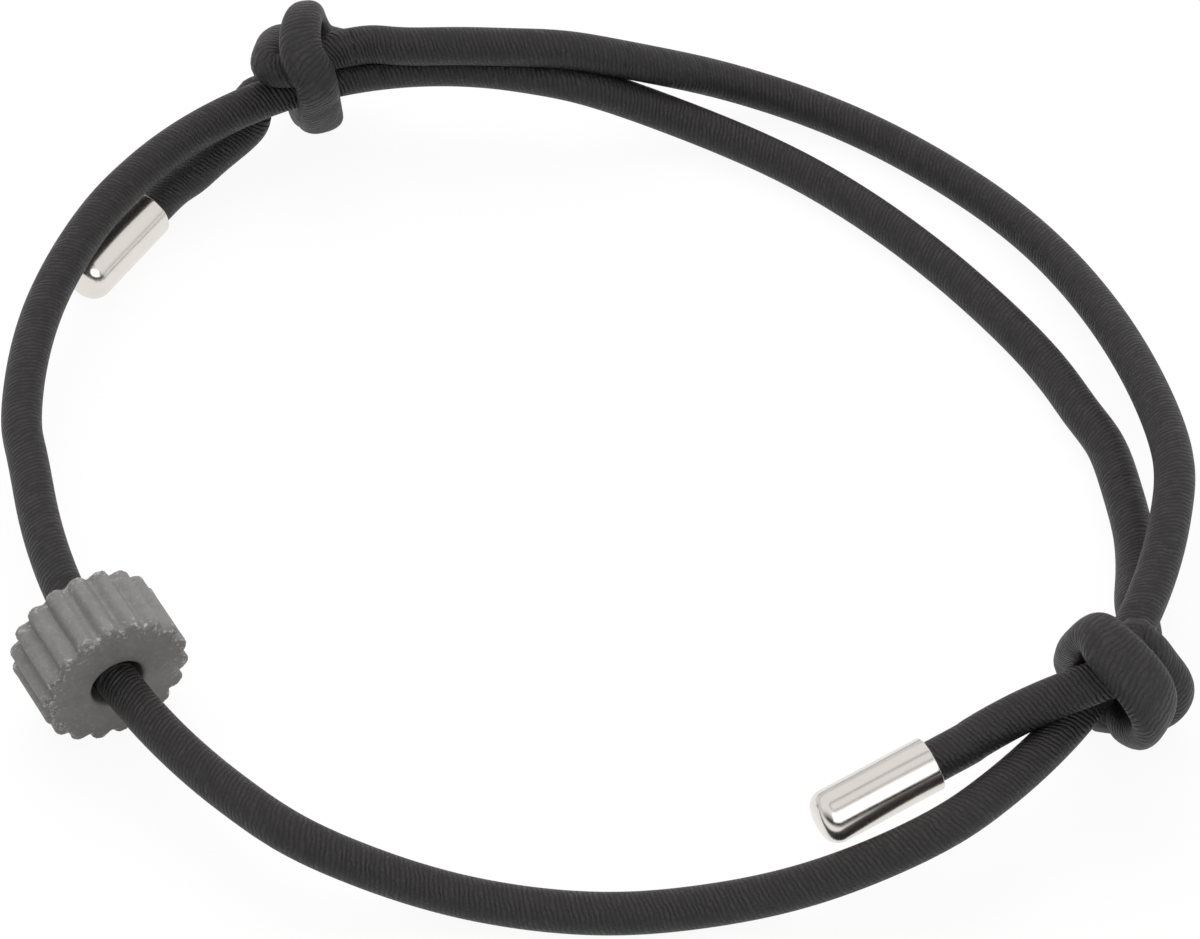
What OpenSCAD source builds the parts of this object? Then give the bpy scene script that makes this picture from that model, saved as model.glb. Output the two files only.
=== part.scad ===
// Cordless anti-static wrist strap: one round elastic cord closed by two sliding knots,
// each tied round the other strand, with a metal cap on each tail and a fluted bead on
// the single side. It lies flat, as put down on a bench. Millimetres, +Z up.

/* [Cord] */
// Outside diameter of the elastic cord
cord_d = 2.5; // [2.4:0.05:2.6]
// Diameter of the rubber strand inside the cord's textile sleeve
rubber_d = 1.6; // [1.2:0.1:1.7]
// Gap between the rubber strand and the sleeve round it
rubber_gap = 0.05; // [0.02:0.01:0.1]

/* [Knots] */
// Diameter of the cord where a knot squeezes it into a lane beside the other strand
lane_d = 2.0; // [1.9:0.1:2.0]
// Width of the flattened cord where it wraps round the outside of a knot
band_w = 2.7; // [2.4:0.1:2.7]
// Thickness of the flattened cord where it wraps round the outside of a knot
band_t = 1.7; // [1.5:0.1:1.7]
// Gap between a knot and the strand that it slides on
slide_gap = 0.2; // [0.15:0.05:0.3]
// Gap between one turn of a knot and the next
turn_gap = 0.5; // [0.5:0.05:0.7]
// Travel of the first knot to either side along its strand, in degrees of the bend
knot_1_travel = 22; // [10:1:22]
// Travel of the second knot towards the front, in degrees of the bend
knot_2_travel_front = 10; // [4:1:10]
// Travel of the second knot towards the first one, in degrees of the bend
knot_2_travel_back = 13; // [8:1:13]

/* [End caps] */
// Outside diameter of an end cap
cap_d = 3.3; // [3.2:0.1:3.6]
// Length of an end cap
cap_l = 7.5; // [7:0.1:9]
// Radius of the round edge at an end cap's closed end
cap_nose_r = 1.0; // [0.5:0.1:1.4]
// Depth of the blind hole in an end cap
cap_bore_l = 6.2; // [5:0.1:6.4]
// Gap between the cord and the hole in an end cap
cap_fit = 0.05; // [0.03:0.01:0.1]
// Thickness of the dab of adhesive behind the cord in an end cap
glue_t = 0.7; // [0.3:0.1:1.2]

/* [Bead] */
// Outside diameter of the fluted bead, over its ribs
bead_d = 9.4; // [9:0.1:10]
// Length of the bead along the cord
bead_l = 4.9; // [4:0.1:5]
// Number of ribs round the bead
bead_ribs = 18; // [12:1:24]
// Depth of a flute between two ribs
flute_depth = 0.45; // [0.2:0.05:0.6]
// Size of the bevel round each end face of the bead
bead_bevel = 0.25; // [0.1:0.05:0.4]
// Gap between the cord and the bead's bore
bead_fit = 0.4; // [0.3:0.05:0.6]
// Travel of the bead to either side along its strand, in degrees of the bend
bead_travel = 14; // [6:1:14]

/* [Hidden] */

CORD_COLOR = "#363433";
RUBBER_COLOR = "#8a7a5c";
METAL_COLOR = "#cfcdc8";
BEAD_COLOR = "#7a7773";
GLUE_COLOR = "#d8d2b0";

// Sides of a swept cord, and the depth of the flat it rests on
SIDES = 8;
rest_flat = cord_d / 10;
// Bore of the cord's sleeve
sleeve_bore = rubber_d + 2 * rubber_gap;

// Knot section, measured from the middle of the strand that runs through it: a lane lies
// beside that strand, the band passes over a lane or over the strand itself
lane_r = cord_d / 2 + slide_gap + lane_d / 2;
over_r = lane_r + lane_d / 2 + turn_gap + band_t / 2;
front_r = cord_d / 2 + slide_gap + 0.05 + band_t / 2;
// Half the straight length that a knot needs on its strand, and where its lanes end
knot_half = 4.6;
lane_half = 2.8;
// The knots squeeze the rubber strand thin
rubber_pinch = 1.1;
RUBBER_SHARE = (rubber_d - rubber_pinch) / cord_d;
LANE_SHARE = lane_d / cord_d;

// Bends that the knots and the bead slide along: centre, radius and rest position
bend_1 = [-9.9, 7.2];
bend_1_r = 24;
knot_1_at = 110.7;
bend_2 = [-3, 0.3];
bend_2_r = 38.6;
knot_2_at = -30.7;
bend_3 = [7, 3.6];
bend_3_r = 41.7;
bead_at = -149.5;

// Knot lanes: direction of the incoming strand and of the tail from the strand in the
// knot, from outward (0) to up (90), and the way round that the cord winds
knot_1_own = 108;
knot_1_tail = -37.3;
knot_2_own = -77.8;
knot_2_tail = 73;
// How far the turns of each knot reach back along the strand: three places on the way
// from the lane out to the band, then the band itself, for the first and the second half
KNOT_1_TURNS = [[2.8, 1.9, 0.4, -0.5], [4.8, 1.5, 0.35, -1.1]];
KNOT_2_TURNS = [[0.9, 1.7, 2.1, 2], [1.3, 1.5, 1.7, 1.35]];
// How far two of those places stand out past the lane, and the band past its plain distance,
// for the same halves
KNOT_1_SWELL = [[0.45, 1.8, 0.8], [0.4, 2.4, 0.5]];
KNOT_2_SWELL = [[0.4, 2.6, 0.35], [0.3, 2.1, 0.3]];

// ---- paths ----
function unit(v) = v / norm(v);
function along(list, i) = list[max(0, min(len(list) - 1, i))];
// Uniform cubic B-spline that starts and ends on the first and last point
function guard(P) = concat([2 * P[0] - P[1]], P, [2 * P[len(P) - 1] - P[len(P) - 2]]);
function bspline_at(Q, i, u) =
    ((1 - u) * (1 - u) * (1 - u) * Q[i] + (3 * u * u * u - 6 * u * u + 4) * Q[i + 1]
     + (-3 * u * u * u + 3 * u * u + 3 * u + 1) * Q[i + 2] + u * u * u * Q[i + 3]) / 6;
function bspline(P, steps) = let (Q = guard(P), n = len(P) - 1)
    [for (k = [0 : n * steps]) let (i = min(n - 1, floor(k / steps))) bspline_at(Q, i, k / steps - i)];
// Catmull-Rom curve through every point
function through_at(Q, i, u) =
    (2 * Q[i + 1] + (Q[i + 2] - Q[i]) * u + (2 * Q[i] - 5 * Q[i + 1] + 4 * Q[i + 2] - Q[i + 3]) * u * u
     + (3 * Q[i + 1] - Q[i] - 3 * Q[i + 2] + Q[i + 3]) * u * u * u) / 2;
function through(P, steps) = let (Q = guard(P), n = len(P) - 1)
    [for (k = [0 : n * steps]) let (i = min(n - 1, floor(k / steps))) through_at(Q, i, k / steps - i)];
// Directions along a path, whose first and last are given where it meets something
function tangents(P, first = undef, last = undef) = [for (i = [0 : len(P) - 1])
    i == 0 && first != undef ? first : i == len(P) - 1 && last != undef ? last
    : unit(along(P, i + 1) - along(P, i - 1))];
function path_length(P, i = 0) = i >= len(P) - 1 ? 0 : norm(P[i + 1] - P[i]) + path_length(P, i + 1);

// A place on a bend, and the direction along it for a growing angle
function on_bend(c, r, angle, z) = [c[0] + r * cos(angle), c[1] + r * sin(angle), z];
function bend_way(angle) = [-sin(angle), cos(angle), 0];

// ---- swept solids ----
// Rings of an oval section; wide lies across the path in the direction of cross(path, face)
function ring(p, t, face, w, h, flat_z) =
    let (n = unit(face - (face * t) * t), b = cross(t, n))
    [for (k = [0 : SIDES - 1]) let (a = (k + 0.5) * 360 / SIDES,
        q = p + b * (w / 2) * cos(a) + n * (h / 2) * sin(a)) [q[0], q[1], max(q[2], flat_z)]];
function side_faces(rings, first, flip) = [for (i = [0 : rings - 2], k = [0 : SIDES - 1], half = [0, 1])
    let (k2 = (k + 1) % SIDES, a = first + i * SIDES + k, b = first + i * SIDES + k2,
         c = a + SIDES, d = b + SIDES,
         f = half == 0 ? [a, b, d] : [a, d, c])
    flip ? [f[2], f[1], f[0]] : f];
function fan(first, flip) = [for (k = [1 : SIDES - 2])
    flip ? [first + k + 1, first + k, first] : [first, first + k, first + k + 1]];
function ring_faces(outer, inner, flip) = [for (k = [0 : SIDES - 1], half = [0, 1])
    let (k2 = (k + 1) % SIDES,
         f = half == 0 ? [outer + k, inner + k, inner + k2] : [outer + k, inner + k2, outer + k2])
    flip ? [f[2], f[1], f[0]] : f];

module solid_tube(rings) {
    last = (len(rings) - 1) * SIDES;
    polyhedron(points = [for (r = rings, p = r) p],
               faces = concat(side_faces(len(rings), 0, false), fan(0, true), fan(last, false)));
}

module sleeve_tube(outer, inner) {
    n = len(outer);
    in0 = n * SIDES;
    polyhedron(points = concat([for (r = outer, p = r) p], [for (r = inner, p = r) p]),
               faces = concat(side_faces(n, 0, false), side_faces(n, in0, true),
                              ring_faces(0, in0, false),
                              ring_faces((n - 1) * SIDES, in0 + (n - 1) * SIDES, true)));
}

// A free stretch of cord: its faces look up, and it is cut flat where it lies on the bench
function stretch_rings(stretch, d, first, last, flat_z) = let (P = stretch[0], T = tangents(P, stretch[1], stretch[2]))
    [for (i = [0 : len(P) - 1]) let (w = d * (i == 0 ? first : i == len(P) - 1 ? last : 1))
        ring(P[i], T[i], [0, 0, 1], w, w, flat_z)];
// first and last are the shares of the full width at the two ends
module cord_stretch(stretch, first = 1, last = 1) {
    color(CORD_COLOR) sleeve_tube(stretch_rings(stretch, cord_d, first, last, 0),
                                  stretch_rings(stretch, sleeve_bore, first, last, -99));
}
module rubber_stretch(stretch, first = 1, last = 1) {
    color(RUBBER_COLOR) solid_tube(stretch_rings(stretch, rubber_d, first, last, -99));
}

// A stretch along a bend, as a true curve
module bend_cord(c, r, z, from, to) {
    color(CORD_COLOR) translate([c[0], c[1], z]) rotate([0, 0, from]) rotate_extrude(angle = to - from, $fn = 96)
        translate([r, 0]) difference() {
            circle(d = cord_d, $fn = 32);
            circle(d = sleeve_bore, $fn = 32);
        }
}
module bend_rubber(c, r, z, from, to) {
    color(RUBBER_COLOR) translate([c[0], c[1], z]) rotate([0, 0, from]) rotate_extrude(angle = to - from, $fn = 96)
        translate([r, 0]) circle(d = rubber_d, $fn = 32);
}

// ---- knots ----
// Half of a knot, from the incoming strand to the middle of the band: share of the way
// from lane to lane round the back, share of the way round the front, distance from the
// strand in the knot, place along it, width and thickness. The other half runs back.
function half_knot(b, swell) = let (out = over_r + swell[2]) [
    [0.00, 0.00, lane_r, lane_half, lane_d, lane_d],
    [0.00, 0.00, lane_r, 0.7 * lane_half, lane_d, lane_d],
    [0.00, 0.00, lane_r, 0.35 * lane_half, lane_d, lane_d],
    [0.00, 0.00, lane_r, 0, lane_d, lane_d],
    [0.02, 0.00, lane_r, -1.2 - 0.125 * b[0], lane_d, lane_d],
    [0.15, 0.00, lane_r + 0.05, -b[0], lane_d, lane_d],
    [0.42, 0.00, lane_r + swell[0], -b[1], lane_d, lane_d],
    [0.73, 0.00, lane_r + swell[1], -b[2], 0.7 * lane_d + 0.3 * band_w, band_t],
    [1.00, 0.00, out, -b[3], band_w, band_t],
    [1.00, 0.11, out - 0.4, -0.7 * b[3], band_w, band_t],
    [1.00, 0.21, front_r + 1.0, -0.45 * b[3], band_w, band_t],
    [1.00, 0.31, front_r + 0.3, -0.27 * b[3], band_w, band_t],
    [1.00, 0.41, front_r, -0.12 * b[3], band_w, band_t],
    [1.00, 0.50, front_r, 0, band_w, band_t]];
function whole_knot(turns, swell) =
    let (first = half_knot(turns[0], swell[0]), second = half_knot(turns[1], swell[1]))
    through(concat(first, [for (i = [len(second) - 2 : -1 : 0]) let (k = second[i])
        [2 - k[0], 1 - k[1], k[2], -k[3], k[4], k[5]]]), 2);
KNOT_1 = [whole_knot(KNOT_1_TURNS, KNOT_1_SWELL), knot_1_own, knot_1_tail, -1, bend_1, bend_1_r, knot_1_at];
KNOT_2 = [whole_knot(KNOT_2_TURNS, KNOT_2_SWELL), knot_2_own, knot_2_tail, 1, bend_2, bend_2_r, knot_2_at];

// A knot is its curve, its lanes' directions (own and tail), its way (the side of the knot,
// along the bend, that the incoming strand comes from), and its bend, radius and place
function lane_angle(k, knot) = let (back = abs(knot[1] - knot[2]), dir = sign(knot[2] - knot[1]))
    knot[1] + dir * (back * k[0] + (360 - back) * k[1]);
function knot_turn(k, knot) = knot[6] + knot[3] * k[3] / knot[5] * 180 / PI;
function knot_point(k, knot, z) = let (a = lane_angle(k, knot), q = knot[5] + k[2] * cos(a))
    on_bend(knot[4], q, knot_turn(k, knot), z + k[2] * sin(a));
function knot_face(k, knot) = let (a = lane_angle(k, knot), turn = knot_turn(k, knot))
    [cos(a) * cos(turn), cos(a) * sin(turn), sin(a)];
function knot_path(knot, z) = [for (k = knot[0]) knot_point(k, knot, z)];
function knot_tangents(P, knot) = let (turn = knot[3] * lane_half / knot[5] * 180 / PI)
    tangents(P, -knot[3] * bend_way(knot[6] + turn), -knot[3] * bend_way(knot[6] - turn));
function knot_rings(knot, z, share, flat_z) = let (P = knot_path(knot, z), T = knot_tangents(P, knot))
    [for (i = [0 : len(P) - 1]) let (k = knot[0][i])
        ring(P[i], T[i], knot_face(k, knot), k[4] * share, k[5] * share, flat_z)];

// A knot lies on its lowest turn, so that sets the height of the strand in it
function lowest(rings) = min([for (r = rings, p = r) p[2]]);
knot_1_z = -lowest(knot_rings(KNOT_1, 0, 1, -99)) - rest_flat;
knot_2_z = -lowest(knot_rings(KNOT_2, 0, 1, -99)) - rest_flat;
bead_z = bead_d / 2;

// Least gap between turns of one knot, between places over 5 mm apart along the cord
function reach(u, t, face, w, h) = let (n = unit(face - (face * t) * t), b = cross(t, n))
    sqrt(pow(w / 2 * (u * b), 2) + pow(h / 2 * (u * n), 2));
function run(P) = [for (i = 0, s = 0; i < len(P); s = s + (i < len(P) - 1 ? norm(P[i + 1] - P[i]) : 0), i = i + 1) s];
function self_gap(knot) = let (P = knot_path(knot, 0), T = tangents(P), S = run(P), K = knot[0])
    min([for (i = [0 : len(P) - 1], j = [i + 1 : 1 : len(P) - 1]) if (S[j] - S[i] > 5)
        let (d = norm(P[j] - P[i]), u = (P[j] - P[i]) / d)
        d - reach(u, T[i], knot_face(K[i], knot), K[i][4], K[i][5])
          - reach(u, T[j], knot_face(K[j], knot), K[j][4], K[j][5])]);

// ---- ends of the bends ----
bead_half = (bead_l / 2 - 0.2) / bend_3_r * 180 / PI;
bead_span = bead_travel + (bead_l / 2 + 0.6) / bend_3_r * 180 / PI;
turn_1 = knot_half / bend_1_r * 180 / PI;
turn_2 = knot_half / bend_2_r * 180 / PI;
lane_turn_1 = lane_half / bend_1_r * 180 / PI;
lane_turn_2 = lane_half / bend_2_r * 180 / PI;
track_1_left = knot_1_at + knot_1_travel + turn_1;
track_1_right = knot_1_at - knot_1_travel - turn_1;
track_2_front = knot_2_at - knot_2_travel_front - turn_2;
track_2_back = knot_2_at + knot_2_travel_back + turn_2;

// A knot's lane ends, where its own strand and its tail leave it
function lane_end(knot, z, first) = knot_point(knot[0][first ? 0 : len(knot[0]) - 1], knot, z);
knot_1_in = lane_end(KNOT_1, knot_1_z, true);
knot_1_out = lane_end(KNOT_1, knot_1_z, false);
knot_2_in = lane_end(KNOT_2, knot_2_z, true);
knot_2_out = lane_end(KNOT_2, knot_2_z, false);

// ---- routes ----
// Height of a cord's middle when it lies on the bench
lie = cord_d / 2 - rest_flat;
// A route starts and ends straight out of what it meets, for this far
LEAD = 4;
function lift1(p) = [p[0], p[1], p[2] + lie];
STEPS = 1;
// A stretch is its path, then its directions at the two ends
function stretch(start, way_in, P, end, way_out, lead_in = LEAD, lead_out = LEAD) =
    [bspline(concat([start, start + lead_in * way_in], [for (p = P) lift1(p)], [end - lead_out * way_out, end]), STEPS),
     way_in, way_out];

// Points of the free stretches: across, away, and height above lying on the bench
LEFT_ROUTE = [[-35.2, 0.4, 3.9], [-35, 9.5, 3.9]];
FRONT_ROUTE = [[-13.6, -31.5, 2.2], [-7.6, -32.6, 0.2], [0, -33.7, 0], [6.2, -33.1, 0], [12.8, -32.7, 1.6]];
OUTER_ROUTE = [[9, 32.9, 1.2], [15.1, 31.3, 0.1], [21, 27.5, 0], [27.7, 21.2, 0.1], [31.8, 13.5, 1.3],
               [34.3, 5.4, 2.9]];
INNER_ROUTE = [[3.9, 30.4, 1.2], [10.3, 28, 0.1], [15.7, 24.3, 0], [22.3, 17.8, 0], [28.8, 9, 0],
               [30.5, 4.3, 0.3]];
OUTER_END_ROUTE = [[-9, 30.5, 7.2], [-5.2, 30.4, 7.1]];
INNER_END_ROUTE = [[32.9, -9.8, 0.9], [32.4, -12.3, 1.8]];
// Seams where a knot's own strand passes to the rest of its stretch
OUTER_SEAM = [1.8, 31.2, 5.1];
outer_seam_way = unit([1, 0.16, -0.42]);
INNER_SEAM = [32.6, -2.2, 0.6];
inner_seam_way = unit([0.14, -1, 0.05]);
// Tails and their caps' open ends: across and away from where the tail leaves its knot, and
// height above lying on the bench, with each cap pointing down its own way
TAIL_1_ROUTE = [[-0.7, -1.2, 1.4], [-2.1, -3.4, 0.7], [-3.8, -5.7, 0.6]];
TAIL_2_ROUTE = [[-3.4, -1, 7.4], [-6.3, -2.3, 6.5]];
CAP_1_AT = [-6.9, -9.1, 0.7];
cap_1_way = unit([-0.53, -0.85, 0]);
CAP_2_AT = [-9.8, -4.1, 4.8];
cap_2_way = unit([-0.88, -0.45, -0.17]);

left_run = stretch(on_bend(bend_3, bend_3_r, bead_at - bead_span, bead_z), -bend_way(bead_at - bead_span),
    LEFT_ROUTE, on_bend(bend_1, bend_1_r, track_1_left, knot_1_z), -bend_way(track_1_left));
front_run = stretch(on_bend(bend_3, bend_3_r, bead_at + bead_span, bead_z), bend_way(bead_at + bead_span),
    FRONT_ROUTE, on_bend(bend_2, bend_2_r, track_2_front, knot_2_z), bend_way(track_2_front));
outer_run = stretch(lift1(OUTER_SEAM), outer_seam_way, OUTER_ROUTE,
    on_bend(bend_2, bend_2_r, track_2_back, knot_2_z), -bend_way(track_2_back));
inner_run = stretch(on_bend(bend_1, bend_1_r, track_1_right, knot_1_z), -bend_way(track_1_right),
    INNER_ROUTE, lift1(INNER_SEAM), inner_seam_way);
outer_end_run = stretch(knot_1_in, -bend_way(knot_1_at - lane_turn_1), OUTER_END_ROUTE,
    lift1(OUTER_SEAM), outer_seam_way);
inner_end_run = stretch(lift1(INNER_SEAM), inner_seam_way, INNER_END_ROUTE,
    knot_2_in, -bend_way(knot_2_at + lane_turn_2), LEAD, 2);
// A tail leaves its knot along the lane and ends straight inside its cap
function from_knot(out, p) = [out[0] + p[0], out[1] + p[1], p[2]];
cap_1_mouth = lift1(from_knot(knot_1_out, CAP_1_AT));
cap_2_mouth = lift1(from_knot(knot_2_out, CAP_2_AT));
cord_in_cap = cap_bore_l - glue_t - 0.05;
function tail(start, way, P, mouth, cap_way, lead) =
    let (run = stretch(start, way, [for (p = P) from_knot(start, p)], mouth, cap_way, lead, 3))
    [concat(run[0], [mouth + cord_in_cap * cap_way]), way, cap_way];
tail_1_run = tail(knot_1_out, bend_way(knot_1_at + lane_turn_1), TAIL_1_ROUTE, cap_1_mouth, cap_1_way, 0.8);
tail_2_run = tail(knot_2_out, -bend_way(knot_2_at - lane_turn_2), TAIL_2_ROUTE, cap_2_mouth, cap_2_way, 0.8);

echo(knot_heights = [knot_1_z, knot_2_z]);
echo(knot_self_gaps = [self_gap(KNOT_1), self_gap(KNOT_2)]);
echo(knot_exits = [knot_1_out, knot_2_out]);
echo(lengths = [for (run = [left_run, front_run, outer_run, inner_run, outer_end_run, inner_end_run,
                            tail_1_run, tail_2_run]) path_length(run[0])]);

// ---- sub-parts: loop ----
module outer_cord() { cord_stretch(outer_run); }
module outer_rubber() { rubber_stretch(outer_run); }
module outer_cord_end() { cord_stretch(outer_end_run, first = LANE_SHARE); }
module outer_rubber_end() { rubber_stretch(outer_end_run, first = LANE_SHARE); }
module inner_cord() { cord_stretch(inner_run); }
module inner_rubber() { rubber_stretch(inner_run); }
module inner_cord_end() { cord_stretch(inner_end_run, last = LANE_SHARE); }
module inner_rubber_end() { rubber_stretch(inner_end_run, last = LANE_SHARE); }
module left_cord() { cord_stretch(left_run); }
module left_rubber() { rubber_stretch(left_run); }
module front_cord() { cord_stretch(front_run); }
module front_rubber() { rubber_stretch(front_run); }
module knot_1_track_cord() { bend_cord(bend_1, bend_1_r, knot_1_z, track_1_right, track_1_left); }
module knot_1_track_rubber() { bend_rubber(bend_1, bend_1_r, knot_1_z, track_1_right, track_1_left); }
module knot_2_track_cord() { bend_cord(bend_2, bend_2_r, knot_2_z, track_2_front, track_2_back); }
module knot_2_track_rubber() { bend_rubber(bend_2, bend_2_r, knot_2_z, track_2_front, track_2_back); }
module bead_cord() { bend_cord(bend_3, bend_3_r, bead_z, bead_at - bead_half, bead_at + bead_half); }
module bead_rubber() { bend_rubber(bend_3, bend_3_r, bead_z, bead_at - bead_half, bead_at + bead_half); }
module bead_cord_left() { bend_cord(bend_3, bend_3_r, bead_z, bead_at - bead_span, bead_at - bead_half); }
module bead_rubber_left() { bend_rubber(bend_3, bend_3_r, bead_z, bead_at - bead_span, bead_at - bead_half); }
module bead_cord_front() { bend_cord(bend_3, bend_3_r, bead_z, bead_at + bead_half, bead_at + bead_span); }
module bead_rubber_front() { bend_rubber(bend_3, bend_3_r, bead_z, bead_at + bead_half, bead_at + bead_span); }

// ---- sub-parts: knots and tails ----
module knot_sleeve(knot, z) {
    color(CORD_COLOR) sleeve_tube(knot_rings(knot, z, 1, 0), knot_rings(knot, z, sleeve_bore / cord_d, -99));
}
module knot_core(knot, z) { color(RUBBER_COLOR) solid_tube(knot_rings(knot, z, RUBBER_SHARE, -99)); }
module knot_1() { knot_sleeve(KNOT_1, knot_1_z); }
module knot_1_rubber() { knot_core(KNOT_1, knot_1_z); }
module knot_2() { knot_sleeve(KNOT_2, knot_2_z); }
module knot_2_rubber() { knot_core(KNOT_2, knot_2_z); }
module tail_cord_1() { cord_stretch(tail_1_run, first = LANE_SHARE); }
module tail_rubber_1() { rubber_stretch(tail_1_run, first = LANE_SHARE); }
module tail_cord_2() { cord_stretch(tail_2_run, first = LANE_SHARE); }
module tail_rubber_2() { rubber_stretch(tail_2_run, first = LANE_SHARE); }

// Puts a part that was drawn along +Z at a place, pointing a given way
module pointing(at, way) {
    translate(at) rotate([0, acos(way[2]), atan2(way[1], way[0])]) children();
}

// A deep-drawn metal cap: straight wall, round nose and a blind hole for the cord
module end_cap(at, way) {
    color(METAL_COLOR) pointing(at, way) difference() {
        rotate_extrude($fn = 64) {
            square([cap_d / 2, cap_l - cap_nose_r]);
            square([cap_d / 2 - cap_nose_r, cap_l]);
            intersection() {
                translate([cap_d / 2 - cap_nose_r, cap_l - cap_nose_r]) circle(r = cap_nose_r, $fn = 48);
                square([cap_d / 2, cap_l]);
            }
        }
        translate([0, 0, -1]) cylinder(h = cap_bore_l + 1, d = cord_d + 2 * cap_fit, $fn = 48);
    }
}
module end_cap_1() { end_cap(cap_1_mouth, cap_1_way); }
module end_cap_2() { end_cap(cap_2_mouth, cap_2_way); }

// A dab of adhesive that holds the cord's cut end in the cap
module adhesive(at, way) {
    color(GLUE_COLOR) pointing(at + (cap_bore_l - glue_t) * way, way)
        cylinder(h = glue_t, d = cord_d, $fn = 48);
}
module cap_adhesive_1() { adhesive(cap_1_mouth, cap_1_way); }
module cap_adhesive_2() { adhesive(cap_2_mouth, cap_2_way); }

// ---- sub-parts: bead ----
// Outline of the ribs: round crowns with narrower hollows between them
RIB_POINTS = 8;
function rib_r(a) = bead_d / 2 - flute_depth * pow(0.5 - 0.5 * cos(a * bead_ribs), 1.6);
bead_outline = [for (i = [0 : bead_ribs * RIB_POINTS - 1]) let (a = i * 360 / (bead_ribs * RIB_POINTS))
    rib_r(a) * [cos(a), sin(a)]];
module bead() {
    color(BEAD_COLOR) pointing(on_bend(bend_3, bend_3_r, bead_at, bead_z), bend_way(bead_at))
        difference() {
            intersection() {
                translate([0, 0, -bead_l / 2]) linear_extrude(bead_l) polygon(bead_outline);
                rotate_extrude($fn = 96) polygon([[0, -bead_l / 2], [bead_d / 2 - bead_bevel, -bead_l / 2],
                    [bead_d / 2 + 0.01, -bead_l / 2 + bead_bevel], [bead_d / 2 + 0.01, bead_l / 2 - bead_bevel],
                    [bead_d / 2 - bead_bevel, bead_l / 2], [0, bead_l / 2]]);
            }
            cylinder(h = bead_l + 2, d = cord_d + 2 * bead_fit, center = true, $fn = 48);
        }
}

outer_cord();
outer_rubber();
outer_cord_end();
outer_rubber_end();
inner_cord();
inner_rubber();
inner_cord_end();
inner_rubber_end();
knot_1_track_cord();
knot_1_track_rubber();
knot_2_track_cord();
knot_2_track_rubber();
left_cord();
left_rubber();
front_cord();
front_rubber();
bead_cord();
bead_rubber();
bead_cord_left();
bead_rubber_left();
bead_cord_front();
bead_rubber_front();
knot_1();
knot_1_rubber();
tail_cord_1();
tail_rubber_1();
end_cap_1();
cap_adhesive_1();
knot_2();
knot_2_rubber();
tail_cord_2();
tail_rubber_2();
end_cap_2();
cap_adhesive_2();
bead();
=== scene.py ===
# %% [markdown]
# # A cordless anti-static wrist strap
# One length of round elastic cord makes the whole strap. It passes through a fluted bead,
# and each of its two ends is tied round the other strand in a sliding knot, so that the
# loop can be drawn smaller. A bright metal cap closes each cut end.
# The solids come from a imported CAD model. This lesson loads them as a fixed frame and
# dresses them: cord with its thread covering, knots, caps and bead.

# %% Load the solids
import math

import bmesh
import bpy
import numpy as np
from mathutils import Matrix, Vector


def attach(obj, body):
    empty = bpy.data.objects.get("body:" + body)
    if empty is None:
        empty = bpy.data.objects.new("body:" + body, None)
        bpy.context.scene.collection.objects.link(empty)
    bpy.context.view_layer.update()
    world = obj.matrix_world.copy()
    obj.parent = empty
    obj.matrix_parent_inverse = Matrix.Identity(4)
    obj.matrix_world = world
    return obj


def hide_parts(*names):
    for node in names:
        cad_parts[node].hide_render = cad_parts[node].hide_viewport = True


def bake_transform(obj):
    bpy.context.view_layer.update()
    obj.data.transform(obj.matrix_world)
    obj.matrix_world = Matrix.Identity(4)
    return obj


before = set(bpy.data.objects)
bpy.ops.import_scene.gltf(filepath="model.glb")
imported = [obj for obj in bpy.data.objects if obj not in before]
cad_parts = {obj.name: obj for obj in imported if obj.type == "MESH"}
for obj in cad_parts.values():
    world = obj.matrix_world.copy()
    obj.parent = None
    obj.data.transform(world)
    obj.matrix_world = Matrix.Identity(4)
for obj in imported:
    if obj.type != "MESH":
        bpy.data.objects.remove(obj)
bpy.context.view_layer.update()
print("solids:", len(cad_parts))

# %% [markdown]
# ## Camera
# The strap lies on a bench and is seen from the front and above, from a bit over a hand's
# length away. A long lens keeps the near and the far side at nearly the same scale. A short
# lens close by would show the same things, but the front would look swollen.

# %% Camera
CAMERA_TILT = 40.5

lens = bpy.data.cameras.new("long_lens")
lens.lens, lens.sensor_width = 135, 36
lens.clip_start, lens.clip_end = 0.01, 10
camera = bpy.data.objects.new("camera", lens)
camera.location = (0.0005, -0.18105, 0.21291)
camera.rotation_euler = (math.radians(CAMERA_TILT), 0, 0)
bpy.context.collection.objects.link(camera)
bpy.context.scene.camera = camera
print("camera looks down at", 90 - CAMERA_TILT, "degrees")

# %% [markdown]
# ## The cord's route
# The cord runs in smooth curves between places where it has to lie on a true circle: the
# knots and the bead slide there. Between them a B-spline near a few given points gives the
# lazy curves of elastic that was put down. A Bezier curve could do it too, but a B-spline has
# no handles to set and never kinks. All of this is in millimetres.

# %% Curve helpers
CORD_D = 2.5
LIE = CORD_D / 2 - CORD_D / 10  # the cord sags a tenth of its diameter where it lies
LOOSE_STEPS, TIGHT_STEPS = 16, 10


def unit(v):
    v = np.asarray(v, float)
    return v / np.linalg.norm(v)


def with_guards(points):
    P = np.asarray(points, float)
    return np.vstack([2 * P[0] - P[1], P, 2 * P[-1] - P[-2]])


def curve(points, steps, weights):
    Q, n = with_guards(points), len(points) - 1
    u = np.arange(n * steps + 1) / steps
    i = np.minimum(n - 1, u.astype(int))
    w = weights((u - i)[:, None])
    return sum(w[k] * Q[i + k] for k in range(4))


def loose_weights(u):
    """A B-spline: smooth, but it only passes near its points."""
    return ((1 - u) ** 3 / 6, (3 * u ** 3 - 6 * u * u + 4) / 6,
            (-3 * u ** 3 + 3 * u * u + 3 * u + 1) / 6, u ** 3 / 6)


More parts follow.
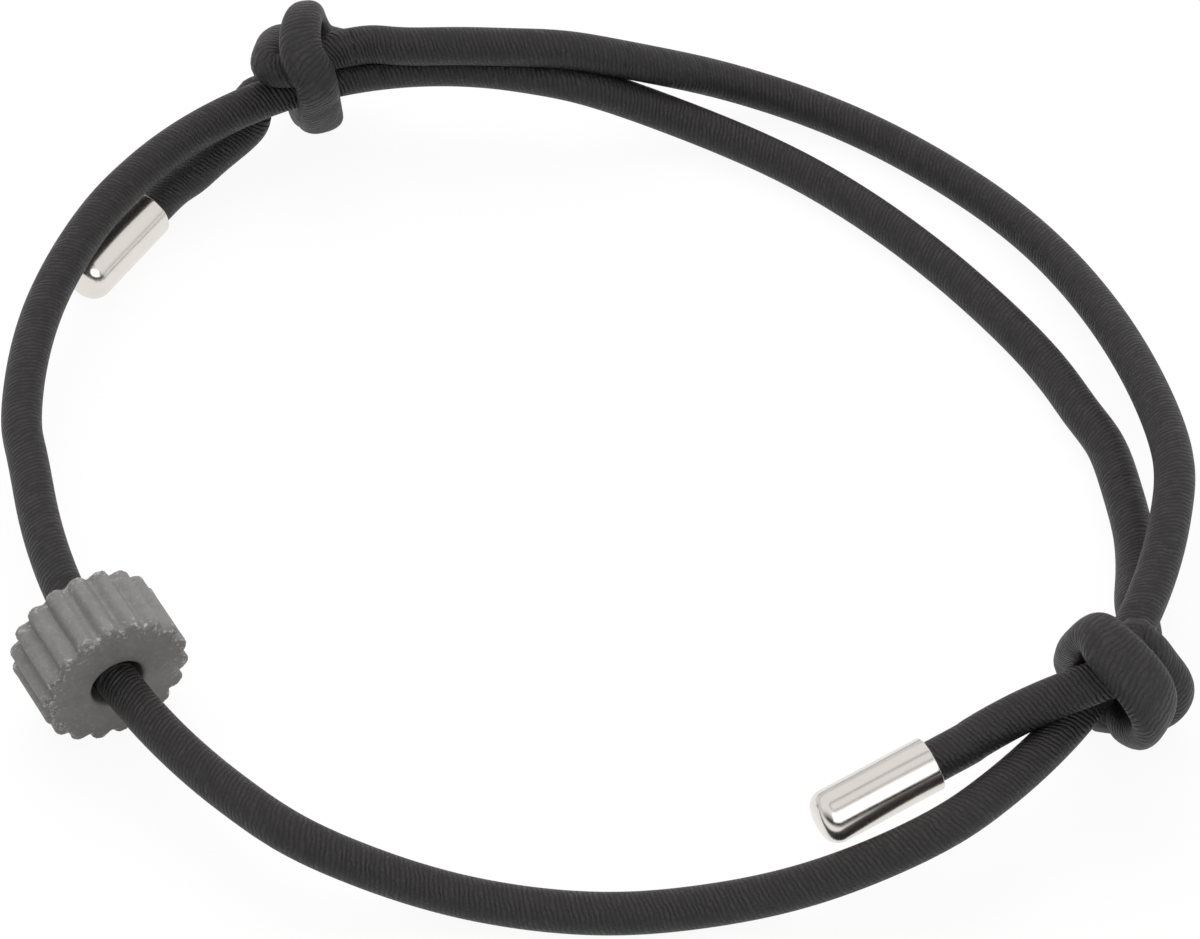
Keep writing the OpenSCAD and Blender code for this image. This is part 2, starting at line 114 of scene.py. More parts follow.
def tight_weights(u):
    """A Catmull-Rom curve: it passes through its points."""
    return ((-u + 2 * u * u - u ** 3) / 2, (2 - 5 * u * u + 3 * u ** 3) / 2,
            (u + 4 * u * u - 3 * u ** 3) / 2, (u ** 3 - u * u) / 2)


def loose(points):
    return curve(points, LOOSE_STEPS, loose_weights)


def tight(points):
    return curve(points, TIGHT_STEPS, tight_weights)


def length_along(P):
    return np.concatenate([[0], np.cumsum(np.linalg.norm(np.diff(P, axis=0), axis=1))])


def lifted(point):
    return np.array([point[0], point[1], point[2] + LIE])


# %% [markdown]
# ## Bends
# Three circles: one under each knot, and one under the bead. A knot that turns about its
# circle's centre slides along the strand, which is how the model moves. Each circle's arc is
# as long as the joint's range, in degrees to either side, and the sliding piece itself.

# %% Bends and the places on them
BEND_1, BEND_1_R, KNOT_1_AT, KNOT_1_Z = (-9.9, 7.2), 24, 110.7, 5.10533
BEND_2, BEND_2_R, KNOT_2_AT, KNOT_2_Z = (-3, 0.3), 38.6, -30.7, 5.54185
BEND_3, BEND_3_R, BEAD_AT, BEAD_Z = (7, 3.6), 41.7, -149.5, 4.7
KNOT_1_SLIDE, KNOT_2_SLIDE, BEAD_TRAVEL = (22, 22), (10, 13), 14
KNOT_HALF, LANE_HALF = 4.6, 2.8
BEAD_D, BEAD_L = 9.4, 4.9
SEAT_INSET, BEAD_ROOM = 0.2, 0.6
ARC_STEP = 1.2


def degrees(mm, r):
    return math.degrees(mm / r)


def on_bend(c, r, angle, z):
    a = np.radians(angle)
    return np.stack(np.broadcast_arrays(c[0] + r * np.cos(a), c[1] + r * np.sin(a), z), -1)


def bend_way(angle):
    a = math.radians(angle)
    return np.array([-math.sin(a), math.cos(a), 0])


def arc(c, r, z, start, end):
    n = max(3, int(abs(end - start) / ARC_STEP))
    return on_bend(c, r, np.linspace(start, end, n + 1), z)


turn_1, turn_2 = degrees(KNOT_HALF, BEND_1_R), degrees(KNOT_HALF, BEND_2_R)
lane_turn_1, lane_turn_2 = degrees(LANE_HALF, BEND_1_R), degrees(LANE_HALF, BEND_2_R)
track_1 = (KNOT_1_AT - KNOT_1_SLIDE[0] - turn_1, KNOT_1_AT + KNOT_1_SLIDE[1] + turn_1)
track_2 = (KNOT_2_AT - KNOT_2_SLIDE[0] - turn_2, KNOT_2_AT + KNOT_2_SLIDE[1] + turn_2)
bead_half = degrees(BEAD_L / 2 - SEAT_INSET, BEND_3_R)
bead_span = BEAD_TRAVEL + degrees(BEAD_L / 2 + BEAD_ROOM, BEND_3_R)
way_in_1, way_out_1 = bend_way(KNOT_1_AT - lane_turn_1), bend_way(KNOT_1_AT + lane_turn_1)
way_out_2, way_in_2 = bend_way(KNOT_2_AT - lane_turn_2), bend_way(KNOT_2_AT + lane_turn_2)
print("knot tracks, degrees:", [round(a, 1) for a in track_1 + track_2])

# %% [markdown]
# ## Knots
# Each is an overhand knot: the cord comes in beside the strand that it holds, turns back and
# round behind, passes once over the front in a wide flat band, and leaves beside the strand on
# the other side. It is simplest to describe round the strand itself. A row holds the share of
# the way back round, the share of the way over the front, how far out and how far along it is,
# the width, the thickness, and a lean in degrees. Tying it in a cloth simulation would take
# minutes and give a shape nobody chose.

# %% Knot rows
LANE, BAND_W, BAND_T = 2.2, 2.8, 1.9
LANE_R, FRONT_R, OVER_R = 2.45, 2.35, 4.8


def half_knot(back, swell, extra=0, lean=0):
    """From a lane's outer end to the middle of the band, which extra makes wider at its back."""
    out, shift = OVER_R + swell[2], extra / 2
    return [(0, 0, LANE_R + 0.12, LANE_HALF, CORD_D, CORD_D, lean),
            (0, 0, LANE_R + 0.12, 0.7 * LANE_HALF, CORD_D, CORD_D, lean),
            (0, 0, LANE_R + 0.05, 0.35 * LANE_HALF, LANE + 0.1, LANE + 0.1, 0.8 * lean),
            (0, 0, LANE_R, 0, LANE, LANE, 0.3 * lean),
            (0.02, 0, LANE_R, -1.2 - 0.125 * back[0], LANE, LANE, 0),
            (0.15, 0, LANE_R + 0.05, -back[0], LANE, LANE, 0),
            (0.42, 0, LANE_R + swell[0], -back[1] - 0.4 * shift, LANE + 0.4 * extra, LANE, 0),
            (0.73, 0, LANE_R + swell[1], -back[2] - 0.8 * shift,
             0.7 * LANE + 0.3 * BAND_W + 0.8 * extra, BAND_T, 0),
            (1, 0, out, -back[3] - 0.5 * shift, BAND_W + 0.5 * extra, BAND_T, 0),
            (1, 0.11, out - 0.4, -0.7 * back[3], BAND_W, BAND_T, 0),
            (1, 0.21, FRONT_R + 1, -0.45 * back[3], BAND_W, BAND_T, 0),
            (1, 0.31, FRONT_R + 0.3, -0.27 * back[3], BAND_W, BAND_T, 0),
            (1, 0.41, FRONT_R, -0.12 * back[3], BAND_W, BAND_T, 0),
            (1, 0.5, FRONT_R, 0, BAND_W, BAND_T, 0)]


def knot(first, second, own, tail, way, bend, r, at, z):
    """Centres, outward faces, widths and thicknesses of a knot's cord, from its lead to its tail."""
    rows = first + [(2 - k[0], 1 - k[1], k[2], -k[3], *k[4:]) for k in second[-2::-1]]
    k = tight(rows)
    back, side = abs(own - tail), math.copysign(1, tail - own)
    a = np.radians(own + side * (back * k[:, 0] + (360 - back) * k[:, 1]) + k[:, 6])
    angle = at + way * np.degrees(k[:, 3] / r)
    centres = on_bend(bend, r + k[:, 2] * np.cos(a), angle, z + k[:, 2] * np.sin(a))
    t = np.radians(angle)
    faces = np.stack([np.cos(a) * np.cos(t), np.cos(a) * np.sin(t), np.sin(a)], -1)
    return centres, faces, k[:, 4], k[:, 5]


knot_1 = knot(half_knot((2.8, 1.9, 0.4, -0.5), (0.45, 1.8, 0.8), lean=-18),
              half_knot((4.2, 1.5, 0.35, -1.1), (0.4, 2.4, 0.5)),
              108, -37.3, -1, BEND_1, BEND_1_R, KNOT_1_AT, KNOT_1_Z)
knot_2 = knot(half_knot((0.9, 1.7, 2.1, 2), (0.4, 2.6, 0.35), extra=1.6),
              half_knot((1.3, 1.5, 1.7, 1.35), (0.3, 2.1, 0.3)),
              -77.8, 73, 1, BEND_2, BEND_2_R, KNOT_2_AT, KNOT_2_Z)
print("cord in the knots, mm:", [round(length_along(k[0])[-1], 1) for k in (knot_1, knot_2)])

# %% [markdown]
# ## Free runs
# From each knot the cord's own strand rises or dips to clear its neighbour, and a short tail
# ends in a cap. The directions where two stretches meet are given, so that they join without a
# step.

# %% Free runs
OUTER_SEAM, OUTER_WAY = lifted((1.8, 31.2, 4.9)), unit((1, 0.16, -0.42))
INNER_SEAM, INNER_WAY = lifted((32.6, -2.2, 0.6)), unit((0.14, -1, 0.05))
CORD_IN_CAP = (0.25, 5.45)


def run(start, way_in, route, end, way_out, lead_in=4, lead_out=4):
    """From start to end, past a route of points given by the height of the cord's lowest side."""
    points = [start, start + lead_in * way_in, *map(lifted, route), end - lead_out * way_out, end]
    return loose(np.array(points))


def from_knot(exit_point, offset):
    return np.array([exit_point[0] + offset[0], exit_point[1] + offset[1], offset[2]])


CAP_1_AT, CAP_1_WAY = lifted(from_knot(knot_1[0][-1], (-6.9, -9.1, 0.7))), unit((-0.53, -0.85, 0))
CAP_2_AT, CAP_2_WAY = lifted(from_knot(knot_2[0][-1], (-9.8, -4.1, 4.8))), unit((-0.88, -0.45, -0.17))


def tail(start, way, route, mouth, cap_way, lead_in=0.8):
    free = run(start, way, [from_knot(start, p) for p in route], mouth, cap_way, lead_in, 3)
    return np.vstack([free, mouth + np.linspace(*CORD_IN_CAP, 20)[:, None] * cap_way])


left_run = run(on_bend(BEND_3, BEND_3_R, BEAD_AT - bead_span, BEAD_Z), -bend_way(BEAD_AT - bead_span),
               [(-35.2, 0.4, 3.9), (-35, 9.5, 3.9)],
               on_bend(BEND_1, BEND_1_R, track_1[1], KNOT_1_Z), -bend_way(track_1[1]))
front_run = run(on_bend(BEND_3, BEND_3_R, BEAD_AT + bead_span, BEAD_Z), bend_way(BEAD_AT + bead_span),
                [(-13.6, -31.5, 2.2), (-7.6, -32.6, 0.2), (0, -33.7, 0), (6.2, -33.1, 0), (12.8, -32.7, 1.6)],
                on_bend(BEND_2, BEND_2_R, track_2[0], KNOT_2_Z), bend_way(track_2[0]))
outer_run = run(OUTER_SEAM, OUTER_WAY,
                [(9, 32.9, 1.2), (15.1, 31.3, 0.1), (21, 27.5, 0), (27.7, 21.2, 0.1), (31.8, 13.5, 1.3),
                 (34.3, 5.4, 2.9)],
                on_bend(BEND_2, BEND_2_R, track_2[1], KNOT_2_Z), -bend_way(track_2[1]))
inner_run = run(on_bend(BEND_1, BEND_1_R, track_1[0], KNOT_1_Z), -bend_way(track_1[0]),
                [(3.9, 30.4, 1.2), (10.3, 28, 0.1), (15.7, 24.3, 0), (22.3, 17.8, 0), (28.8, 9, 0),
                 (30.5, 4.3, 0.3)],
                INNER_SEAM, INNER_WAY)
lead_1 = run(knot_1[0][0], -way_in_1, [(-12.5, 30.5, 6.6), (-8.7, 30.7, 6.6), (-5, 30.6, 6.5)],
             OUTER_SEAM, OUTER_WAY, 1.5)
lead_2 = run(INNER_SEAM, INNER_WAY, [(32.9, -9.8, 0.9), (32.4, -12.3, 1.8)],
             knot_2[0][0], -way_in_2, 4, 2)
tail_1 = tail(knot_1[0][-1], way_out_1,
              [(-0.3, -1.2, 1.35), (-1.4, -2.4, 0.95), (-3.0, -4.1, 0.85), (-4.4, -6.0, 0.7)],
              CAP_1_AT, CAP_1_WAY)
exit_2 = knot_2[0][-1]
root_2 = exit_2 + (2.3, 0.7, 0)  # inside the band, so that the tail comes out from under it
tail_2 = tail(root_2, unit((-0.7, -0.25, 0.5)),
              [(-2.3, -0.8, 7.3), (-4.6, -1.35, 6.75), (-7.4, -2.3, 5.95), (-10.1, -3.7, 5.2)],
              CAP_2_AT, CAP_2_WAY, 1.6)

under_bead = arc(BEND_3, BEND_3_R, BEAD_Z, BEAD_AT - bead_span, BEAD_AT + bead_span)
loop_line = np.vstack([inner_run[::-1], arc(BEND_1, BEND_1_R, KNOT_1_Z, *track_1)[1:-1], left_run[::-1],
                       under_bead[1:-1], front_run, arc(BEND_2, BEND_2_R, KNOT_2_Z, *track_2)[1:-1],
                       outer_run[::-1]])
print("loop from seam to seam, mm:", round(length_along(loop_line)[-1], 1))

# %% [markdown]
# ## Sweeping a cord
# A cord is a ring of points carried along its line. Each ring keeps two numbers for its
# covering: how far along the whole cord it is, and how far round. They go into a UV map named
# cord, and run on from piece to piece, so that the thread pattern never breaks where the model
# is cut. A curve object with a round bevel would be quicker, but it can't flatten in the knots,
# and its pattern would start afresh on each piece.

# %% Sweep
MM = 0.001
BOXY_SHARE, MOST_FLAT = 0.6, 0.35


def resampled(columns, P, step):
    s = length_along(P)
    n = max(4, int(round(s[-1] / step)))
    even = np.linspace(0, s[-1], n + 1)
    return [np.stack([np.interp(even, s, c[:, k]) for k in range(c.shape[1])], -1) for c in columns]


def sides_of(P, F, first, last):
    """Direction along, across and out at each ring."""
    T = np.gradient(P, axis=0)
    T[0], T[-1] = (first if first is not None else T[0]), (last if last is not None else T[-1])
    T /= np.linalg.norm(T, axis=1)[:, None]
    N = F - (F * T).sum(1)[:, None] * T
    N /= np.linalg.norm(N, axis=1)[:, None]
    return T, np.cross(T, N), N


def new_object(name, vertices, faces, uvs=None, layer="cord"):
    mesh = bpy.data.meshes.new(name)
    mesh.from_pydata((np.asarray(vertices) * MM).tolist(), [], faces)
    if uvs is not None:
        mesh.uv_layers.new(name=layer).data.foreach_set("uv", np.asarray(uvs, np.float32).ravel())
    mesh.polygons.foreach_set("use_smooth", [True] * len(mesh.polygons))
    mesh.update()
    made = bpy.data.objects.new(name, mesh)
    bpy.context.collection.objects.link(made)
    return made


pattern = {"s": 0.0, "zero": None}


def sweep(name, P, F=None, W=None, H=None, ways=(None, None), share=1.0, sides=32, step=0.2,
          floor=True, join=True):
    """A tube along P whose section is W wide and H thick, and boxy where flat.

    share makes it thinner all over, floor presses it flat on the bench, and join takes the
    pattern over from the tube before it.
    """
    P = np.asarray(P, float)
    F = np.tile([0, 0, 1.0], (len(P), 1)) if F is None else F
    W = np.full(len(P), CORD_D) if W is None else W
    H = W if H is None else H
    P, F, WH = resampled([P, F, np.stack([W, H], -1)], P, step)
    T, B, N = sides_of(P, F, *ways)
    s = length_along(P)
    a = (np.arange(sides) + 0.5) * 2 * math.pi / sides
    W, H = WH[:, :1], WH[:, 1:]
    boxy = 1 - BOXY_SHARE * np.clip(1 - H / W, 0, MOST_FLAT)
    across, out = (np.sign(f(a)) * np.abs(f(a)) ** boxy * share / 2 for f in (np.cos, np.sin))
    rings = P[:, None] + B[:, None] * (W * across)[:, :, None] + N[:, None] * (H * out)[:, :, None]
    if floor:
        rings[:, :, 2] = np.maximum(rings[:, :, 2], 0)
    zero = B[0] if pattern["zero"] is None else pattern["zero"]
    offset = -math.atan2(zero @ N[0], zero @ B[0]) / (2 * math.pi)
    n = len(P)
    faces, uvs = [], []
    v = (np.arange(sides + 1) + 0.5) / sides + offset
    for i in range(n - 1):
        for k in range(sides):
            k2 = (k + 1) % sides
            faces.append((i * sides + k, (i + 1) * sides + k, (i + 1) * sides + k2, i * sides + k2))
            u0, u1 = pattern["s"] + s[i], pattern["s"] + s[i + 1]
            uvs += [(u0, v[k]), (u1, v[k]), (u1, v[k + 1]), (u0, v[k + 1])]
    for i, order in ((0, 1), (n - 1, -1)):
        faces.append([i * sides + k for k in range(sides)][::order])
        uvs += [(pattern["s"] + s[i], 0)] * sides
    if join:
        turn = -offset * 2 * math.pi
        pattern["s"] += s[-1]
        pattern["zero"] = B[-1] * math.cos(turn) + N[-1] * math.sin(turn)
    return new_object(name, rings.reshape(-1, 3), faces, uvs)


# %% [markdown]
# ## The loop, from end to end
# The cord starts at the cap on the second tail and is swept in its real order, so each piece
# takes over the pattern where the last one stopped. A rubber strand runs inside each piece of
# sleeve as it does in real elastic. The second tail starts inside its knot, and its rubber is
# cut back there so that none of it looks out.

# %% The cord's pieces
CORE = 0.64
ROOT_HOLLOW = 18
SEAT_D = CORD_D + 0.06


def core_of(name, P, *section, ways=(None, None)):
    return sweep(name + "_core", P, *section, ways=ways, share=CORE, sides=12, step=0.6,
                 floor=False, join=False)


def cord_and_core(name, P, *section, ways=(None, None), hollow=0):
    """Sleeve and rubber; hollow leaves out the rubber's last points."""
    core = core_of(name, P[:len(P) - hollow], *section, ways=ways)
    return sweep(name + "_cord", P, *section, ways=ways), core


def reverse(columns):
    return [c[::-1] for c in columns]


tail_2_cord, tail_2_core = cord_and_core("tail_2", tail_2[::-1], ways=(-CAP_2_WAY, None), hollow=ROOT_HOLLOW)
knot_2_cord, knot_2_core = cord_and_core("knot_2", *reverse(knot_2), ways=(way_out_2, way_in_2))
lead_2_cord, lead_2_core = cord_and_core("lead_2", lead_2[::-1], ways=(way_in_2, -INNER_WAY))
loop_cord, loop_core = cord_and_core("loop", loop_line, ways=(-INNER_WAY, -OUTER_WAY))
lead_1_cord, lead_1_core = cord_and_core("lead_1", lead_1[::-1], ways=(-OUTER_WAY, way_in_1))
knot_1_cord, knot_1_core = cord_and_core("knot_1", *knot_1, ways=(way_in_1, way_out_1))
tail_1_cord, tail_1_core = cord_and_core("tail_1", tail_1, ways=(way_out_1, CAP_1_WAY))
seat_line = arc(BEND_3, BEND_3_R, BEAD_Z, BEAD_AT - bead_half, BEAD_AT + bead_half)
seat_cord = sweep("bead_seat_cord", seat_line, None, np.full(len(seat_line), SEAT_D), join=False)
seat_core = core_of("bead_seat", seat_line)
print("whole cord, mm:", round(pattern["s"], 1))

# %% [markdown]
# ## What moves with what
# The loop stays. Each knot turns about its bend, its lead runs between the loop and the knot,
# and its tail runs between the knot and the cap. Leads and tails are set down once in place, and
# the real length of the free cord between the two seams is worked out.

# %% Riding and replacing
TAIL_1_BEND, TAIL_2_BEND, PATH_STEP = 7, 10, 3

loop_nodes = ["outer_cord", "inner_cord", "knot_1_track_cord", "knot_2_track_cord", "left_cord", "front_cord",
              "bead_cord_left", "bead_cord_front"]
loop_rubber_nodes = [n.replace("cord", "rubber") for n in loop_nodes]
rides = [(loop_cord, "loop", loop_nodes), (loop_core, "loop", loop_rubber_nodes),
         (knot_1_cord, "knot_1_body", ["knot_1"]), (knot_1_core, "knot_1_body", ["knot_1_rubber"]),
         (knot_2_cord, "knot_2_body", ["knot_2"]), (knot_2_core, "knot_2_body", ["knot_2_rubber"]),
         (seat_cord, "bead_seat", ["bead_cord"]), (seat_core, "bead_seat", ["bead_rubber"])]
for piece, body, nodes in rides:
    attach(piece, body)
    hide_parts(*nodes)


def metres(point):
    return tuple(float(x) * MM for x in point)


def point_at(P, mm):
    s = length_along(P)
    return [np.interp(mm, s, P[:, k]) for k in range(3)]


bends = [(lead_1_cord, lead_1_core, "loop", "knot_1_body", OUTER_SEAM, lead_1[0],
          "outer_cord_end", "outer_rubber_end"),
         (lead_2_cord, lead_2_core, "loop", "knot_2_body", INNER_SEAM, lead_2[-1],
          "inner_cord_end", "inner_rubber_end"),
         (tail_1_cord, tail_1_core, "knot_1_body", "tail_1", tail_1[0], point_at(tail_1, TAIL_1_BEND),
          "tail_cord_1", "tail_rubber_1"),
         (tail_2_cord, tail_2_core, "knot_2_body", "tail_2", exit_2, point_at(tail_2, TAIL_2_BEND),
          "tail_cord_2", "tail_rubber_2")]
for sleeve, core, a, b, start, end, sleeve_node, core_node in bends:
    for piece, node in ((sleeve, sleeve_node), (core, core_node)):
        metres(start)
        metres(end)
        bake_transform(piece)
        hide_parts(node)

loop_path = [metres(p) for p in resampled([loop_line], loop_line, PATH_STEP)[0]]
loop_length = length_along(loop_line)[-1] * MM
print("declared cord, m:", round(loop_length, 4))

# %% [markdown]
# ## End caps
# A cap is a small cup, deep-drawn from sheet metal and plated, pushed over the cut end with a
# dab of glue. Turning a profile round an axis makes it: a rolled lip, a straight wall, a round
# shoulder and a nose that stays slightly crowned.

# %% Turned pieces
CAP_D, CAP_L, CAP_BORE_D, CAP_BORE_L, CAP_SIDES = 3.3, 7.5, 2.6, 6.2, 96


def rounded(profile, corner, start, end, r, n):
    """Adds a quarter of a circle with its middle at corner, between two angles in degrees."""
    for k in range(n + 1):
        a = math.radians(start + (end - start) * k / n)
        profile.append((corner[0] + r * math.cos(a), corner[1] + r * math.sin(a)))


def place(points, at, way):
    """Turns points drawn along +Z to point a given way, as the solids do."""
    x, y, z = way
    side = unit((-y, x, 0))
    out = np.cross(side, way)
    return np.asarray(at) + points[:, :1] * out + points[:, 1:2] * side + points[:, 2:] * np.asarray(way)


def turned(name, profile, at, way, sides, warp):
    """A closed profile of (radius, height) turned round the way; a radius of 0 closes it at the axis."""
    rows, n = np.array(profile), len(profile)
    a = np.arange(sides) * 2 * math.pi / sides
    r = rows[:, :1] * np.ones(sides) * warp(a, rows)
    points = np.stack([r * np.cos(a), r * np.sin(a), np.repeat(rows[:, 1:], sides, 1)], -1).reshape(-1, 3)
    faces = []
    for i in range(n):
        j = (i + 1) % n
        if rows[i, 0] == 0 and rows[j, 0] == 0:
            continue
        for k in range(sides):
            k2 = (k + 1) % sides
            faces.append((i * sides + k, i * sides + k2, j * sides + k2, j * sides + k))
    made = new_object(name, place(points, at, way), faces)
    tidy_axis(made)
    return made


def tidy_axis(made):
    bm = bmesh.new()
    bm.from_mesh(made.data)
    bmesh.ops.remove_doubles(bm, verts=bm.verts, dist=1e-7)
    bmesh.ops.recalc_face_normals(bm, faces=bm.faces)
    bm.to_mesh(made.data)
    bm.free()


def cap_profile():
    """From the bore's blind end on the axis, over the lip, along the wall and over the nose."""
    r, bore, nose = CAP_D / 2, CAP_BORE_D / 2, 1.0
    fillet, lip_in, lip, wall_from, rise = 0.15, 0.11, 0.09, 0.3, 0.05
    p = [(0, CAP_BORE_L), (bore * 0.55, CAP_BORE_L), (bore - fillet, CAP_BORE_L)]
    rounded(p, (bore - fillet, CAP_BORE_L - fillet), 90, 0, fillet, 3)
    p += [(bore, CAP_BORE_L * k / 8) for k in range(7, 0, -1)]
    p += [(bore, 0.2)]
    rounded(p, (bore + lip_in, lip_in), 180, 270, lip_in, 5)
    rounded(p, (r - lip, lip), 270, 360, lip, 5)
    p += [(r, 0.16), (r, wall_from)]
    p += [(r, wall_from + (CAP_L - nose - wall_from) * k / 10) for k in range(1, 10)]
    rounded(p, (r - nose, CAP_L - nose), 0, 90, nose, 16)
    flat = r - nose
    p += [(flat * (1 - k / 5), CAP_L + rise * math.sin(math.pi / 2 * k / 5)) for k in range(1, 5)]
    p += [(0, CAP_L + rise)]
    return p


def hand_made(a, rows):
    """A drawn cap is never quite round."""
    return 1 + 0.004 * np.cos(2 * a + 0.7) + 0.002 * np.cos(3 * a + rows[:, 1:] * 0.8)


caps = []
for n, at, way in ((1, CAP_1_AT, CAP_1_WAY), (2, CAP_2_AT, CAP_2_WAY)):
    cap = turned(f"metal_cap_{n}", cap_profile(), at, way, CAP_SIDES, hand_made)
    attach(cap, f"tail_{n}")
    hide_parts(f"end_cap_{n}")
    caps.append(cap)
print("caps:", [c.name for c in caps], len(caps[0].data.polygons), "faces each")

# %% [markdown]
# ## The bead
# A moulded bead: eighteen round ribs with narrower hollows between them, rough end faces and a
# plain bore. A star-shaped outline swept along the bore gives it, with the outline drawn in at
# both ends for the round edge that a mould leaves.

# %% Bead
BEAD_RIBS, FLUTE, BEAD_BORE_D, BEAD_EDGE = 18, 0.45, 3.3, 0.3
BORE_FLARE, FACE_GRAIN, EDGE_BURR = 0.22, 0.012, 0.035


def bead_rows():
    """Rows of (kind, value, height) round the section.

    The value is a radius in the bore, the share of the way out on a face, and an inset on an edge.
    """
    half, bore = BEAD_L / 2, BEAD_BORE_D / 2
    rows = [("bore", bore, half * k / 5) for k in range(-4, 5)]
    rows += [("bore", bore + 0.02, half - 0.16), ("bore", bore + 0.09, half - 0.05),
             ("bore", bore + BORE_FLARE, half)]
    rows += [("face", k / 12, half) for k in range(1, 12)]
    for k in range(8):
        a = math.radians(90 - 90 * k / 7)
        rows.append(("edge", BEAD_EDGE * (1 - math.cos(a)), half - BEAD_EDGE * (1 - math.sin(a))))
    rows += [("edge", 0, (half - BEAD_EDGE) * k / 4) for k in range(3, -1, -1)]
    upper = rows[9:-1]
    return rows + [(kind, value, -z) for kind, value, z in reversed(upper)]


def bead_mesh(columns=360):
    a = np.arange(columns) * 2 * math.pi / columns
    outline = BEAD_D / 2 - FLUTE * (0.5 - 0.5 * np.cos(a * BEAD_RIBS)) ** 1.6
    burrs = np.random.RandomState(4)
    points, wear = [], []
    for kind, value, z in bead_rows():
        inner, outer = BEAD_BORE_D / 2 + BORE_FLARE, outline - BEAD_EDGE
        depth = BEAD_L / 2 - abs(z)
        if kind == "bore":
            r, rough = np.full(columns, value), 0
        elif kind == "face":
            r, rough = inner + (outer - inner) * value, FACE_GRAIN
        else:
            r, rough = outline - value, EDGE_BURR if 0 < depth < BEAD_EDGE * 1.01 else 0.0
        r = r + rough * burrs.uniform(-1, 1, columns)
        height = z - math.copysign(rough, z) * burrs.uniform(0, 1, columns)
        points.append(np.stack([r * np.cos(a), r * np.sin(a), height], -1))
        wear.append(np.stack([outline - r, np.full(columns, depth)], -1))
    rows = len(points)
    faces = []
    for i in range(rows):
        this, following = i * columns, ((i + 1) % rows) * columns
        for k in range(columns):
            k2 = (k + 1) % columns
            faces.append((this + k, this + k2, following + k2, following + k))
    wear = np.vstack(wear)
    at = on_bend(BEND_3, BEND_3_R, BEAD_AT, BEAD_Z)
    made = new_object("fluted_bead", place(np.vstack(points), at, bend_way(BEAD_AT)), faces,
                      [wear[v] for face in faces for v in face], layer="wear")
    tidy_axis(made)
    return made


bead = bead_mesh()
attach(bead, "bead_body")
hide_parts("bead")
print("bead faces:", len(bead.data.polygons))

# %% [markdown]
# ## Shader arithmetic
# A finish is a sum: how far along the thread, how high it stands, how dark the painted shade in
# the gap beside it is. Written with node boxes it is hard to read, so a small class wraps a
# number's socket and lets Python's own signs build the Math nodes.

# %% Numbers as nodes
def add_node(tree, kind, settings=None, values=None):
    node = tree.nodes.new(kind)
    for name, value in (settings or {}).items():
        setattr(node, name, value)
    for key, value in (values or {}).items():
        socket = node.inputs[key]
        value = value.socket if isinstance(value, Number) else value
        if isinstance(value, bpy.types.NodeSocket):
            tree.links.new(value, socket)
        else:
            socket.default_value = value
    return node


class Number:
    """A number that varies over a surface."""

    def __init__(self, tree, socket):
        self.tree, self.socket = tree, socket

    def math(self, operation, *others, first=None):
        values = [self, *others] if first is None else [first, self, *others]
        node = add_node(self.tree, "ShaderNodeMath", {"operation": operation}, dict(enumerate(values)))
        return Number(self.tree, node.outputs[0])

    def __add__(self, other):
        return self.math("ADD", other)

    __radd__ = __add__

    def __sub__(self, other):
        return self.math("SUBTRACT", other)

    def __rsub__(self, other):
        return self.math("SUBTRACT", first=other)

    def __mul__(self, other):
        return self.math("MULTIPLY", other)

    __rmul__ = __mul__

    def __truediv__(self, other):
        return self.math("DIVIDE", other)

    def __pow__(self, other):
        return self.math("POWER", other)

    def floor(self):
        return self.math("FLOOR")

    def clamped(self):
        return self.math("MINIMUM", 1.0).math("MAXIMUM", 0.0)

    def between(self, low, high):
        """0 at low and 1 at high, easing in and out."""
        node = add_node(self.tree, "ShaderNodeMapRange", {"interpolation_type": "SMOOTHSTEP"},
                        {"Value": self, "From Min": low, "From Max": high})
        return Number(self.tree, node.outputs[0])


class Finish:
    """A material with the helpers that its recipe needs."""

    def __init__(self, name, **constants):
        self.material = bpy.data.materials.new(name)
        self.material.use_nodes = True
        self.tree = self.material.node_tree
        self.surface = self.tree.nodes["Principled BSDF"]
        self.set(**constants)

    def set(self, **values):
        for name, value in values.items():
            socket = self.surface.inputs[name.replace("_", " ")]
            value = value.socket if isinstance(value, Number) else value
            if isinstance(value, bpy.types.NodeSocket):
                self.tree.links.new(value, socket)
            else:
                socket.default_value = value

    def add(self, kind, settings=None, values=None):
        return add_node(self.tree, kind, settings, values)

    def number(self, socket):
        return Number(self.tree, socket)

    def noise(self, scale, detail=2.0, roughness=0.5):
        """Cloudy grain; scale is in millimetres between clouds."""
        where = self.add("ShaderNodeTexCoord").outputs["Object"]
        node = self.add("ShaderNodeTexNoise", None,
                        {"Vector": where, "Scale": 1 / (scale * MM),
                         "Detail": detail, "Roughness": roughness})
        return self.number(node.outputs["Fac"])

    def mix(self, share, a, b):
        node = self.add("ShaderNodeMix", {"data_type": "RGBA"})
        for key, value in ((0, share), (6, a), (7, b)):
            value = value.socket if isinstance(value, Number) else value
            if isinstance(value, bpy.types.NodeSocket):
                self.tree.links.new(value, node.inputs[key])
            else:
                node.inputs[key].default_value = value if key == 0 else (*value, 1)
        return node.outputs[2]

    def bump(self, height, distance, strength=1.0):
        node = self.add("ShaderNodeBump", None,
                        {"Height": height, "Distance": distance * MM, "Strength": strength})
        self.set(Normal=node.outputs[0])

    def on(self, *pieces):
        for piece in pieces:
            piece.data.materials.clear()
            piece.data.materials.append(self.material)


# %% [markdown]
# ## Thread covering
# The elastic is covered by fine black thread, laid round it at a slant in ribs 0.3 millimetres
# wide. Each rib is broken into short stitches that lie like bricks. The crowns of the ribs are
# painted lighter and the gaps between them darker, as painted highlight and painted shade. The UV map
# counts millimetres along and turns round, so the ribs are a slanted count of both, and whole
# numbers of starts and stitches close the pattern round the cord.

# %% Cord finish
RIB, STARTS, STITCHES = 0.3, 8, 12
RIB_WANDER, STITCH_WANDER, BRICK_SHIFT = 1.6, 0.9, 0.37

